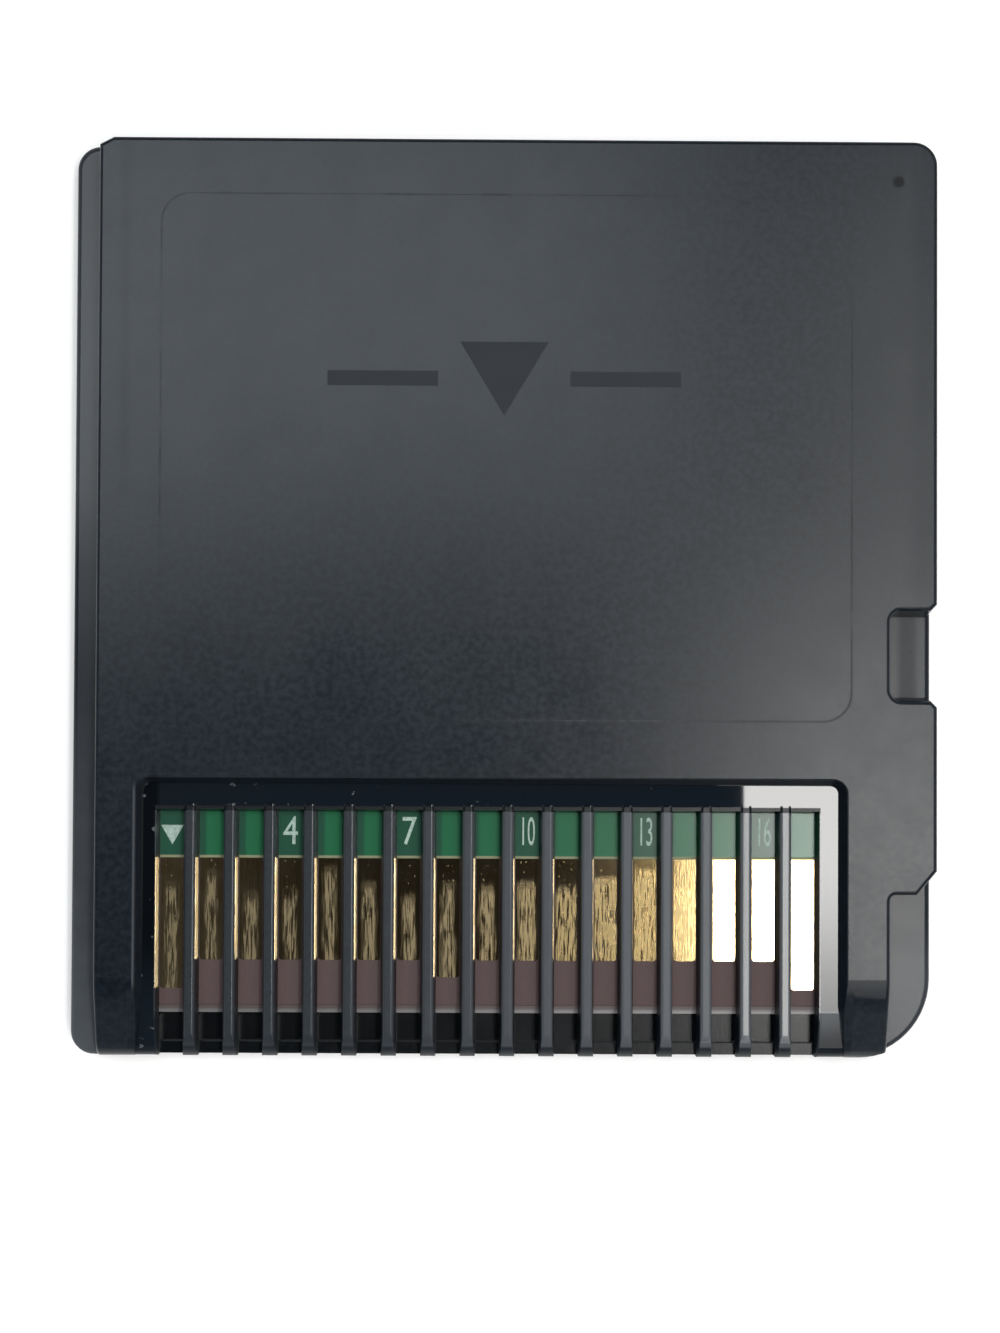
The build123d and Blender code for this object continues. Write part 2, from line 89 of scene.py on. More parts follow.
class ShellLooks(bpy.types.PropertyGroup):
    """Moulded plastic of the two shells."""

    colour: FloatVectorProperty(
        name="Colour", description="Charcoal of the moulded plastic",
        subtype="COLOR", min=0, max=1, default=(0.0064, 0.0101, 0.0150),
    )
    # Lighter colour painted as sheen where the lamps catch ribs, rims, lead-in, nose and ledges:
    # painted highlight
    rubbed_colour: FloatVectorProperty(
        name="Sheen colour", description="Paler film where the plastic is rubbed",
        subtype="COLOR", min=0, max=1, default=(0.072, 0.080, 0.090),
    )
    face_roughness: FloatProperty(
        name="Face roughness", description="Roughness of the textured faces",
        subtype="FACTOR", min=0, max=1, default=0.19,
    )
    inner_roughness: FloatProperty(
        name="Inner roughness", description="Roughness of the plastic below the contacts",
        subtype="FACTOR", min=0, max=1, default=0.168,
    )
    wall_roughness: FloatProperty(
        name="Wall roughness", description="Roughness of the walls of the window and its ribs",
        subtype="FACTOR", min=0, max=1, default=0.40,
    )
    face_gloss: FloatProperty(
        name="Face gloss", description="Mirror strength of the textured faces",
        subtype="FACTOR", min=0, max=1, default=0.15,
    )
    polish_roughness: FloatProperty(
        name="Polish roughness", description="Roughness of the polished contact window",
        subtype="FACTOR", min=0, max=1, default=0.015,
    )
    polish_index: FloatProperty(
        name="Polish index", description="Refractive index of the polished skin",
        min=1, default=1.36,
    )
    grain_size: FloatProperty(
        name="Grain size", description="Width of one grain of the moulded texture",
        unit="LENGTH", min=0.01 * MM, default=0.10 * MM,
    )
    grain_depth: FloatProperty(
        name="Grain depth", description="Depth of the moulded texture",
        unit="LENGTH", min=0, default=0.0012 * MM,
    )
    window_left: FloatProperty(
        name="Window left", description="From the first contact to the left rim of the window",
        unit="LENGTH", default=1.12 * MM,
    )
    window_right: FloatProperty(
        name="Window right", description="From the last contact to the right rim of the window",
        unit="LENGTH", default=1.33 * MM,
    )
    window_top: FloatProperty(
        name="Window top", description="From the top of the contacts to the rim of the window",
        unit="LENGTH", default=3.33 * MM,
    )
    ledge_depth: FloatProperty(
        name="Ledge depth", description="From the face down to the ledge round the window",
        unit="LENGTH", default=1.0 * MM,
    )
    ledge_bottom: FloatProperty(
        name="Ledge bottom", description="From the top of the contacts to the near side of the ledge",
        unit="LENGTH", default=1.82 * MM,
    )
    panel_low: FloatVectorProperty(
        name="Panel low corner", description="Near left corner of the mould's panel on the face",
        size=2, unit="LENGTH", default=(-13.05 * MM, -4.65 * MM),
    )
    panel_high: FloatVectorProperty(
        name="Panel high corner", description="Far right corner of the mould's panel on the face",
        size=2, unit="LENGTH", default=(13.24 * MM, 15.36 * MM),
    )
    panel_radius: FloatProperty(
        name="Panel radius", description="Corner radius of the mould's panel",
        unit="LENGTH", default=1.1 * MM,
    )
    dent_place: FloatVectorProperty(
        name="Dent place", description="Middle of the small dull dent near a corner of the face",
        size=2, unit="LENGTH", default=(15.0 * MM, 15.96 * MM),
    )
    dent_radius: FloatProperty(
        name="Dent radius", description="Radius of the dull dent",
        unit="LENGTH", default=0.24 * MM,
    )
    arrow_size: FloatProperty(
        name="Arrow size", description="Height of the raised insertion arrow",
        unit="LENGTH", default=2.8 * MM,
    )
    arrow_middle: FloatVectorProperty(
        name="Arrow middle", description="Middle of the raised insertion arrow",
        size=2, unit="LENGTH", default=(0.0, 8.34 * MM),
    )
    arrow_rise: FloatProperty(
        name="Arrow rise", description="How far the arrow stands up from the panel",
        unit="LENGTH", default=0.02 * MM,
    )
    panel_depth: FloatProperty(
        name="Panel depth", description="How far the panel lies below the face",
        unit="LENGTH", default=0.03 * MM,
    )


class ContactLooks(bpy.types.PropertyGroup):
    """Gold plating of the contacts."""

    colour: FloatVectorProperty(
        name="Colour", description="Hard gold plating",
        subtype="COLOR", min=0, max=1, default=(0.87, 0.69, 0.40),
    )
    roughness: FloatProperty(
        name="Roughness", description="Roughness of unworn plating",
        subtype="FACTOR", min=0, max=1, default=0.045,
    )
    wear_roughness: FloatProperty(
        name="Wear roughness", description="Roughness added where the console's springs wipe",
        subtype="FACTOR", min=0, max=1, default=0.30,
    )
    last_roughness: FloatProperty(
        name="Last roughness", description="Roughness added to the last contacts",
        subtype="FACTOR", min=0, max=1, default=0.045,
    )
    wear_shade: FloatProperty(
        name="Wear shade", description="Share of the plating's colour left where the springs wipe",
        subtype="FACTOR", min=0, max=1, default=0.12,
    )
    wear_start: FloatProperty(
        name="Wear start", description="From the top of the contacts to the wiped stretch",
        unit="LENGTH", default=1.1 * MM,
    )
    scratch_depth: FloatProperty(
        name="Scratch depth", description="Depth of the lengthwise wiping scratches",
        unit="LENGTH", default=0.0010 * MM,
    )


class BoardLooks(bpy.types.PropertyGroup):
    """Circuit board: solder mask, bare laminate and print."""

    mask_colour: FloatVectorProperty(
        name="Mask colour", description="Green solder mask over bare laminate",
        subtype="COLOR", min=0, max=1, default=(0.020, 0.088, 0.054),
    )
    trace_colour: FloatVectorProperty(
        name="Trace colour", description="Green solder mask over a copper trace",
        subtype="COLOR", min=0, max=1, default=(0.0185, 0.146, 0.064),
    )
    laminate_colour: FloatVectorProperty(
        name="Laminate colour", description="Bare laminate between the contacts",
        subtype="COLOR", min=0, max=1, default=(0.072, 0.039, 0.039),
    )
    edge_colour: FloatVectorProperty(
        name="Edge colour", description="Cut fibres on the bevelled edge",
        subtype="COLOR", min=0, max=1, default=(0.34, 0.33, 0.335),
    )
    lip_colour: FloatVectorProperty(
        name="Lip colour", description="Thin bare strip between the mask and the contacts",
        subtype="COLOR", min=0, max=1, default=(0.26, 0.27, 0.15),
    )
    ink_colour: FloatVectorProperty(
        name="Ink colour", description="White board print, thin enough to show some green",
        subtype="COLOR", min=0, max=1, default=(0.40, 0.56, 0.48),
    )
    mask_gap: FloatProperty(
        name="Mask gap", description="Bare strip between the mask and the contacts",
        unit="LENGTH", default=0.10 * MM,
    )
    number_step: IntProperty(
        name="Number step", description="Contacts from one printed number to the next",
        min=1, default=3,
    )
    number_height: FloatProperty(
        name="Number height", description="Height of a printed number",
        unit="LENGTH", default=1.15 * MM,
    )
    ink_thickness: FloatProperty(
        name="Ink thickness", description="Thickness of the board print",
        unit="LENGTH", default=0.012 * MM,
    )
    print_y: FloatProperty(
        name="Print height", description="From the top of the contacts to the middle of the print",
        unit="LENGTH", default=1.0 * MM,
    )


class Lamp(NamedTuple):
    """Level soft box: its near left and far right corners, face brightness and colour."""

    name: str
    low: tuple
    high: tuple
    radiance: float
    colour: tuple


WARM = (1.0, 0.985, 0.96)
COOL = (0.905, 0.965, 1.0)
PLAIN = (1.0, 0.99, 0.97)

LAMPS = (
    Lamp("key_lamp", (0.0535, -0.060), (0.078, 0.0235), 18.5, WARM),
    Lamp("near_lamp", (0.0535, -0.500), (0.150, -0.060), 4.0, WARM),
    Lamp("left_fill_lamp", (-0.250, 0.0282), (-0.050, 0.142), 7.95, COOL),
    Lamp("right_fill_lamp", (-0.050, 0.0372), (0.0455, 0.142), 7.3, COOL),
    Lamp("strip_lamp", (0.078, -0.180), (0.112, -0.015), 27.0, PLAIN),
    Lamp("middle_strip_lamp", (0.078, -0.015), (0.112, 0.012), 15.0, PLAIN),
    Lamp("rear_strip_lamp", (0.078, 0.012), (0.112, 0.118), 11.0, PLAIN),
    Lamp("side_lamp", (0.112, -0.300), (0.500, 0.300), 1.5, PLAIN),
)


class StageLooks(bpy.types.PropertyGroup):
    """Floor, world and camera."""

    floor_colour: FloatVectorProperty(
        name="Floor colour", description="Pale floor",
        subtype="COLOR", min=0, max=1, default=(0.92, 0.92, 0.92),
    )
    floor_reach: FloatProperty(
        name="Floor reach", description="How far the floor reaches to each side",
        unit="LENGTH", default=4.0,
    )
    floor_gap: FloatProperty(
        name="Floor gap", description="From the card's underside down to the floor",
        unit="LENGTH", default=0.03 * MM,
    )
    floor_margin: FloatProperty(
        name="Floor margin", description="How far the floor reaches in under the card's edge",
        unit="LENGTH", default=0.30 * MM,
    )
    floor_nose_margin: FloatProperty(
        name="Floor nose margin", description="How far the floor reaches in under the contact edge",
        unit="LENGTH", default=0.90 * MM,
    )
    corner_radius: FloatProperty(
        name="Corner radius", description="Radius of the floor's opening under a square corner",
        unit="LENGTH", default=0.8 * MM,
    )
    round_corner_radius: FloatProperty(
        name="Round corner radius", description="Radius of the floor's opening under the round corner",
        unit="LENGTH", default=2.8 * MM,
    )
    lamp_height: FloatProperty(
        name="Lamp height", description="Height of the soft lamps above the floor",
        unit="LENGTH", default=0.5,
    )
    zenith: FloatProperty(
        name="Zenith", description="Brightness of the dim room overhead",
        min=0, default=0.012,
    )
    zenith_left: FloatProperty(
        name="Zenith left", description="Brightness added overhead at the left",
        min=0, default=0.045,
    )
    horizon: FloatProperty(
        name="Horizon", description="Brightness of the pale room near the floor",
        min=0, default=0.92,
    )
    near_shade: FloatProperty(
        name="Near shade", description="Share of the room's light lost on the camera's side",
        subtype="FACTOR", min=0, max=1, default=0.38,
    )
    floor_glow: FloatProperty(
        name="Floor glow", description="Light added to the floor where it is seen or mirrored",
        min=0, default=0.22,
    )
    camera_place: FloatVectorProperty(
        name="Camera place", description="Where the camera stands",
        subtype="TRANSLATION", unit="LENGTH", default=(-0.00160, -0.00623, 0.12457),
    )
    camera_turn: FloatVectorProperty(
        name="Camera turn", description="How the camera is turned",
        subtype="EULER", unit="ROTATION",
        default=(math.radians(1.713), math.radians(-0.713), math.radians(0.27)),
    )
    camera_lens: FloatProperty(
        name="Camera lens", description="Focal length in millimetres",
        min=1, default=86.1,
    )


class Signal:
    """Shader value whose arithmetic adds Math nodes."""

    def __init__(self, finish, socket):
        self.finish = finish
        self.socket = socket

    def math(self, operation, *values):
        """Math node on these values."""
        return self.finish.node("ShaderNodeMath", {"operation": operation}, dict(enumerate(values)))

    def __add__(self, other):
        return self.math("ADD", self, other)

    def __sub__(self, other):
        return self.math("SUBTRACT", self, other)

    def __mul__(self, other):
        return self.math("MULTIPLY", self, other)

    def __truediv__(self, other):
        return self.math("DIVIDE", self, other)

    def __mod__(self, other):
        return self.math("FLOORED_MODULO", self, other)

    def __rsub__(self, other):
        return self.math("SUBTRACT", other, self)

    def absolute(self):
        """Value without its sign."""
        return self.math("ABSOLUTE", self)

    def larger(self, other):
        """The larger of two values."""
        return self.math("MAXIMUM", self, other)

    def smaller(self, other):
        """The smaller of two values."""
        return self.math("MINIMUM", self, other)

    def swing(self, reach):
        """Noise from 0 to 1 made a swing to both sides of 0."""
        return (self - MIDDLE) * reach

    def root(self):
        """Square root."""
        return self.math("SQRT", self)

    def whole(self):
        """Whole part, rounded down."""
        return self.math("FLOOR", self)

    __radd__ = __add__
    __rmul__ = __mul__


class Finish:
    """Node tree of one finish, with the card's own place in millimetres."""

    def __init__(self, owner):
        owner.use_nodes = True
        self.owner = owner
        self.tree = owner.node_tree
        self.tree.nodes.clear()

    def node(self, kind, settings=None, inputs=None, output=0):
        """New node with its settings made first, then its sockets filled or linked."""
        made = self.tree.nodes.new(kind)
        for name, value in (settings or {}).items():
            setattr(made, name, value)
        for key, value in (inputs or {}).items():
            if isinstance(value, Signal):
                self.tree.links.new(value.socket, made.inputs[key])
            else:
                made.inputs[key].default_value = value
        return Signal(self, made.outputs[output])

    def place(self):
        """Place on the card in millimetres, as one vector."""
        metres = self.node("ShaderNodeTexCoord", output="Object")
        return self.node("ShaderNodeVectorMath", {"operation": "SCALE"}, {0: metres, "Scale": 1 / MM})

    def axes(self, vector):
        """The three parts of a vector."""
        first = self.node("ShaderNodeSeparateXYZ", inputs={0: vector})
        return [Signal(self, output) for output in first.socket.node.outputs]

    def stretch(self, vector, factors):
        """Vector scaled by its own factor along each axis."""
        return self.node("ShaderNodeVectorMath", {"operation": "MULTIPLY"}, {0: vector, 1: factors})

    def noise(self, vector, scale, detail):
        """Soft noise from 0 to 1, with a number of cells to the millimetre."""
        sockets = {"Vector": vector, "Scale": scale, "Detail": detail}
        return self.node("ShaderNodeTexNoise", inputs=sockets)

    def rise(self, value, start, end):
        """Smooth step from 0 at the start to 1 at the end."""
        sockets = {"Value": value, "From Min": start, "From Max": end}
        return self.node("ShaderNodeMapRange", {"interpolation_type": "SMOOTHSTEP"}, sockets)

    def blend(self, factor, shares):
        """Number between two shares."""
        first, last = shares
        return first + factor * (last - first)

    def ramp(self, value, places, shares):
        """Number that goes from one share to another between two places."""
        return self.blend(self.rise(value, *places), shares)

    def between(self, value, low, high, soft):
        """1 between two limits, with soft ends."""
        return self.rise(value, low - soft, low + soft) * self.rise(value, high + soft, high - soft)

    def mix(self, factor, first, second):
        """Colour between two colours."""
        colours = {6: opaque(first), 7: opaque(second)}
        return self.node("ShaderNodeMix", {"data_type": "RGBA"}, {0: factor, **colours}, output=2)

    def bump(self, height, depth):
        """Normal from a height of 0 to 1 over a depth in metres."""
        sockets = {"Height": height, "Distance": depth, "Strength": 1.0}
        return self.node("ShaderNodeBump", inputs=sockets)

    def surface(self, **sockets):
        """Principled surface to the output, with spaces in its socket names written as _."""
        named = {name.replace("_", " "): value for name, value in sockets.items()}
        shader = self.node("ShaderNodeBsdfPrincipled", inputs=named)
        self.node_output("ShaderNodeOutputMaterial", shader)
        return self.owner

    def node_output(self, kind, shader):
        """Output node fed by a shader."""
        made = self.tree.nodes.new(kind)
        self.tree.links.new(shader.socket, made.inputs["Surface"])


def opaque(colour):
    """Colour with full alpha, or a linked colour as it is."""
    if isinstance(colour, Signal):
        return colour
    return (*colour, 1.0)


def shaded(colour, *shares):
    """Colour scaled by one share, or by one for each channel."""
    if len(shares) == 1:
        shares = shares * len(colour)
    return [channel * share for channel, share in zip(colour, shares)]


def new_finish(name):
    """Finish on a new material."""
    return Finish(bpy.data.materials.new(name))


def dress(names, material):
    """Give CAD nodes a material in the slot that they already have."""
    for name in names:
        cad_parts[name].material_slots[0].material = material


def contact_cells(x):
    """Number of the contact at a place, counted from 0, and the place across its pitch."""
    cell = (x - pad_x) / pad_pitch + 0.5
    number = cell.whole()
    return number, cell - number


def start_piece():
    """Leave nothing selected, so that operators act on the new piece alone."""
    bpy.ops.object.select_all(action="DESELECT")


def thicken(rise):
    """Raise the active flat piece into a closed plate."""
    bpy.ops.object.mode_set(mode="EDIT")
    bpy.ops.mesh.select_all(action="SELECT")
    bpy.ops.mesh.extrude_region_move(TRANSFORM_OT_translate={"value": (0, 0, rise)})
    bpy.ops.mesh.select_all(action="SELECT")
    bpy.ops.mesh.normals_make_consistent(inside=False)
    bpy.ops.object.mode_set(mode="OBJECT")


def seat_piece(name, material):
    """Name the active piece, put its place into its mesh and let it ride with the card."""
    bpy.ops.object.transform_apply(location=True, rotation=True, scale=True)
    piece = bpy.context.active_object
    piece.name = name
    piece.data.name = name
    piece.data.materials.clear()
    piece.data.materials.append(material)
    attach(piece, BODY)


# Shells

PLASTIC_INDEX = 1.53

# Shares of the plastic's colour, and the limits and weights of its patterns
MOTTLE_SHARES = (0.60, 1.40)
FRONT_MOTTLE_SHARES = (0.85, 1.15)
SHADE_SHARE = 0.35
MOTTLE_WEIGHT = 0.3
FLECK_WEIGHT = 0.7
SPECK_WEIGHT = 0.3
FLECK_LIMITS = (0.30, 0.70)
SPECK_LIMITS = (0.64, 0.72)
LINT_LIMITS = (0.70, 0.76)
LINT_SLOPE = 0.003
LINT_COLOUR = (0.10, 0.115, 0.125)
SMEAR_STRETCH = (0.5, 0.22, 1.0)
LINE_ROUGHNESS = 0.11
SUNK_ROUGHNESS = 0.09

# Lines and marks on the face: places in millimetres, and weights
PANEL_LINE = (-0.04, 0.04)
PANEL_LINE_SOFT = 0.05
PANEL_SHOWN_X = (-8.0, 6.0)
PANEL_SHOWN_Y = (-2.0, 2.0)
PANEL_BREAKS = (0.25, 0.60)
PANEL_FADE = 0.012
DENT_EDGE = (1.2, 0.6)
DENT_WEIGHT = 2.5
HANDLED_FROM_EDGE = (1.2, 0.6)
HANDLED_Y = (-1.0, 1.5)
HANDLED_WEIGHT = 0.3
SINK_FROM_EDGE = (0.85, 1.20)
SINK_SOFT = 0.12
SINK_Y = (2.0, 6.0)
SINK_WEIGHT = 0.22

# Parts of the contact window, with a strip and a corner painted in shade: places in millimetres, and
# shares
WINDOW_DEPTH = (0.04, 0.12)
SLOT_DEPTH = (0.2, 0.3)
RIB_MARGIN = 0.15
RIB_TOP_HEIGHT = (-0.12, -0.04)
RIM_HEIGHT = (0.08, 0.15)
DULL_STRIP = (-0.05, 0.20)
SKIN_Y = (-17.5, -9.5)
RIB_SKIN_X = (7.5, 9.5)
RIB_SKIN = (0.35, 0.57)
SHADED_X = (0.10, -0.15)
SHADED_Y = (-16.0, -12.5)

# Painted sheen on the rear shell, lighter where the lamps catch it: places in millimetres, and shares
RIB_SHEEN_X = (-8.0, 8.0)
RIB_SHEEN = (0.30, 1.0)
RIM_LINE = (0.22, 0.31)
RIM_LINE_SOFT = 0.03
RIM_LINE_END_Y = -14.8
RIM_LINE_FROM_TOP = 0.6
RIM_LINE_FADE = 0.3
RIM_SHEEN = 0.7
LEAD_IN_X = (0.0, 0.3)
LEAD_IN_END = (1.85, 1.75)
LEAD_IN_FADE = (0.5, 1.75)
LEAD_IN_SHEEN = 0.9
NOSE_END = (2.4, 1.6)
NOSE_SHEEN_X = (-5.0, 15.0)
NOSE_SHEEN = (0.05, 0.12)

# Front shell's tray in painted shade, painted sheen on its ledges, and notch floor: places in
# millimetres, and shares
TRAY_LEFT = 1.5
TRAY_RIGHT = 2.0
TRAY_SOFT = 0.1
TRAY_Z = (0.5, 0.7)
LEDGE_SHEEN = 0.05
LEDGE_SHEEN_STEPS = (
    ((1.0, 5.0), 0.36),
    ((8.0, 17.0), -0.14),
    ((-2.5, -9.0), 0.50),
    ((-9.0, -17.0), 0.40),
)
SIDE_LEDGE_X = (0.1, -0.1)
KEY_LEDGE_X = (14.0, 14.4)
KEY_LEDGE_Y = (-12.0, -14.5)
KEY_LEDGE_SHEEN = 0.35
NOTCH_FROM_EDGE = (0.55, 1.2)
NOTCH_SOFT = 0.2
NOTCH_Y = (-4.2, -0.5)
NOTCH_END_SOFT = 0.1

# Etched arrow, with its outlines in halves of its height
ETCHED_SHARE = 0.80
ETCHED_ROUGHNESS = (0.34, 0.44)
ARROW_TIP = ((-1.2, 1.0), (0.0, -1.0), (1.2, 1.0))
ARROW_BAR = ((1.8, 0.20), (1.8, -0.20), (4.8, -0.20), (4.8, 0.20))


class WindowMasks(NamedTuple):
    """Parts of the contact window, each 1 on its own faces and 0 elsewhere."""

    window: Signal
    slots: Signal
    rib_tops: Signal
    walls: Signal
    polish: Signal
    dull: Signal


def window_masks(finish, looks, x, y, z):
    """Tell the parts of the contact window apart by their place."""
    left_x = pad_low.x - looks.window_left / MM
    right_x = last_pad_high.x + looks.window_right / MM
    top_y = pad_top_y + looks.window_top / MM
    rib_y = pad_top_y + looks.ledge_bottom / MM
    above_ledge = z - (face_z - looks.ledge_depth / MM)
    row = finish.between(x, pad_low.x - RIB_MARGIN, last_pad_high.x + RIB_MARGIN, SOFT)
    window = finish.between(x, left_x, right_x, SOFT) * finish.rise(y, top_y, top_y - 2 * SOFT)
    window = window * finish.rise(face_z - z, *WINDOW_DEPTH)
    slots = window * finish.rise(board_z - z, *SLOT_DEPTH)
    ribs = row * finish.rise(y, rib_y + SOFT, rib_y - SOFT) * (window - slots)
    rib_tops = ribs * finish.rise(above_ledge, *RIB_TOP_HEIGHT)
    rims = window * finish.rise(above_ledge, *RIM_HEIGHT)
    polish = window - slots - ribs - rims
    dull = polish * row * finish.between(y - rib_y, *DULL_STRIP, SOFT)
    walls = rims + ribs - rib_tops + dull
    return WindowMasks(window, slots, rib_tops, walls, polish, dull)


def panel_line(finish, looks, x, y):
    """1 on the rounded outline of the mould's panel where it shows, 0 away from it."""
    low = [corner / MM for corner in looks.panel_low]
    high = [corner / MM for corner in looks.panel_high]
    radius = looks.panel_radius / MM
    beyond = []
    for place, start, end in zip((x, y), low, high):
        from_middle = (place - (start + end) / 2).absolute()
        beyond.append(from_middle - ((end - start) / 2 - radius))
    outside = [distance.larger(0.0) for distance in beyond]
    corner = (outside[0] * outside[0] + outside[1] * outside[1]).root()
    inside = beyond[0].larger(beyond[1]).smaller(0.0)
    line = finish.between(corner + inside - radius, *PANEL_LINE, PANEL_LINE_SOFT)
    breaks = finish.noise(finish.place(), scale=0.5, detail=3.0)
    shown = finish.rise(y, *PANEL_SHOWN_Y).larger(finish.rise(x, *PANEL_SHOWN_X))
    return line * shown * finish.rise(breaks - y * PANEL_FADE, *PANEL_BREAKS)


def face_marks(finish, looks, x, y):
    """Dull dent, and the fainter marks along the handled edge and the sink band."""
    middle_x, middle_y = (place / MM for place in looks.dent_place)
    across, along = x - middle_x, y - middle_y
    from_middle = (across * across + along * along).root()
    dent = finish.rise(from_middle / (looks.dent_radius / MM), *DENT_EDGE)
    handled = finish.rise(rear_high.x - x, *HANDLED_FROM_EDGE) * finish.rise(y, *HANDLED_Y)
    sink = finish.between(x - rear_low.x, *SINK_FROM_EDGE, SINK_SOFT) * finish.rise(y, *SINK_Y)
    return dent, handled * HANDLED_WEIGHT + sink * SINK_WEIGHT


def rubbed_films(finish, looks, masks, x, y):
    """Shares of the painted sheen on the rib tops, the left rim, the lead-in and the nose."""
    left_x = pad_low.x - looks.window_left / MM
    top_y = pad_top_y + looks.window_top / MM
    from_edge = y - rear_low.y
    tops = masks.rib_tops * finish.ramp(x, RIB_SHEEN_X, RIB_SHEEN)
    rim = finish.between(x - left_x, *RIM_LINE, RIM_LINE_SOFT)
    rim = rim * finish.between(y, RIM_LINE_END_Y, top_y - RIM_LINE_FROM_TOP, RIM_LINE_FADE)
    lead_in = masks.polish * finish.rise(x - last_pad_high.x, *LEAD_IN_X)
    lead_in = lead_in * finish.rise(from_edge, *LEAD_IN_END) * finish.rise(from_edge, *LEAD_IN_FADE)
    nose = finish.rise(from_edge, *NOSE_END) * (1.0 - masks.window)
    nose = nose * finish.ramp(x, NOSE_SHEEN_X, NOSE_SHEEN)
    return tops, rim * RIM_SHEEN, lead_in * LEAD_IN_SHEEN, nose


def rear_finish(looks):
    """Charcoal plastic with fine moulded grain, and a polished window with painted sheen on its ribs
    and rim and painted shade in its slots.
    """
    finish = new_finish("rear_plastic")
    place = finish.place()
    x, y, z = finish.axes(place)
    masks = window_masks(finish, looks, x, y, z)
    matte = 1.0 - masks.polish
    grain = finish.noise(place, MM / looks.grain_size, detail=3.0)
    mottle = finish.noise(place, scale=0.35, detail=4.0)
    blotch = finish.noise(place, scale=0.9, detail=4.0)
    smear = finish.noise(finish.stretch(place, SMEAR_STRETCH), scale=1.0, detail=3.0)
    fleck = finish.noise(place, scale=4.2, detail=3.0)
    speck = finish.rise(finish.noise(place, scale=2.1, detail=2.0), *SPECK_LIMITS)
    lint = finish.rise(finish.noise(place, scale=2.6, detail=3.0) - x * LINT_SLOPE, *LINT_LIMITS)
    dent, faint = face_marks(finish, looks, x, y)

    dark, light = (shaded(looks.colour, share) for share in MOTTLE_SHARES)
    # Shade colour for the painted shade in the slots, the dent, the window's left corner, the ledge
    # strip and the front tray
    shade_colour = shaded(looks.colour, SHADE_SHARE)
    tone = mottle * MOTTLE_WEIGHT + finish.rise(fleck, *FLECK_LIMITS) * FLECK_WEIGHT
    tone = tone - speck * SPECK_WEIGHT
    tone = MIDDLE + (tone - MIDDLE) * matte
    # Painted shade: the slots between the ribs and the dent take the shade colour
    colour = finish.mix(masks.slots.larger(dent), finish.mix(tone, dark, light), shade_colour)
    # Painted shade on the window's ledge to the left of the first contact
    left_shade = finish.rise(x - pad_low.x, *SHADED_X) * finish.rise(y, *SHADED_Y)
    colour = finish.mix(masks.polish * left_shade, colour, shade_colour)
    colour = finish.mix(lint * masks.polish, colour, LINT_COLOUR)
    # Painted shadow: the strip along the near side of the ledge takes the shade colour
    colour = finish.mix(masks.dull, colour, shade_colour)
    # Painted highlight: the sheen colour laid over the rib tops, the left rim, the lead-in and the
    # nose
    for sheen in rubbed_films(finish, looks, masks, x, y):
        colour = finish.mix(sheen, colour, looks.rubbed_colour)

    rough = finish.blend(matte, (looks.polish_roughness, looks.face_roughness))
    rough = rough + masks.slots * (looks.inner_roughness - looks.face_roughness)
    rough = rough + masks.walls * (looks.wall_roughness - looks.face_roughness)
    marks = smear.swing(reach=0.05) + blotch.swing(reach=0.05) + fleck.swing(reach=0.08)
    lines = panel_line(finish, looks, x, y) + dent * DENT_WEIGHT + faint
    skin = (masks.polish - masks.dull) * finish.rise(y, *SKIN_Y)
    skin = skin + masks.rib_tops * finish.ramp(x, RIB_SKIN_X, RIB_SKIN)
    return finish.surface(
        Base_Color=colour,
        Roughness=rough + marks * matte + lines * LINE_ROUGHNESS,
        IOR=PLASTIC_INDEX,
        Specular_IOR_Level=looks.face_gloss,
        Coat_Weight=skin,
        Coat_Roughness=looks.polish_roughness,
        Coat_IOR=looks.polish_index,
        Normal=finish.bump(grain * matte, looks.grain_depth),
    )


def front_finish(looks):
    """The same plastic on the label half, with painted sheen on its two ledges and painted shade in
    its tray.
    """
    finish = new_finish("front_plastic")
    place = finish.place()
    x, y, z = finish.axes(place)
    grain = finish.noise(place, MM / looks.grain_size, detail=3.0)
    mottle = finish.noise(place, scale=0.35, detail=4.0)
    blotch = finish.noise(place, scale=0.9, detail=4.0)
    upper = finish.rise(z, *TRAY_Z)
    inside = finish.between(x, front_low.x + TRAY_LEFT, front_high.x - TRAY_RIGHT, TRAY_SOFT) * upper
    # Painted highlight: the left ledge is lighter in its upper part and most towards the contact edge,
    # and the key's ledge near the contact edge
    toned = LEDGE_SHEEN
    for places, share in LEDGE_SHEEN_STEPS:
        toned = toned + finish.rise(y, *places) * share
    toned = toned * finish.rise(x - rear_low.x, *SIDE_LEDGE_X)
    toned = toned + finish.rise(x, *KEY_LEDGE_X) * finish.rise(y, *KEY_LEDGE_Y) * KEY_LEDGE_SHEEN
    sunk = finish.between(front_high.x - x, *NOTCH_FROM_EDGE, NOTCH_SOFT)
    sunk = sunk * finish.between(y, *NOTCH_Y, NOTCH_END_SOFT) * upper * (1.0 - inside)

    dark, light = (shaded(looks.colour, share) for share in FRONT_MOTTLE_SHARES)
    # Painted shade: the front shell's tray, deep between the ribs, takes the shade colour
    shade_colour = shaded(looks.colour, SHADE_SHARE)
    colour = finish.mix(inside, finish.mix(mottle, dark, light), shade_colour)
    colour = finish.mix(toned * (1.0 + blotch.swing(reach=0.6)), colour, looks.rubbed_colour)
    rough = looks.face_roughness + blotch.swing(reach=0.05)
    rough = rough + inside * (looks.inner_roughness - looks.face_roughness)
    return finish.surface(
        Base_Color=colour,
        Roughness=rough + sunk * SUNK_ROUGHNESS,
        IOR=PLASTIC_INDEX,
        Specular_IOR_Level=looks.face_gloss,
        Normal=finish.bump(grain, looks.grain_depth),
    )


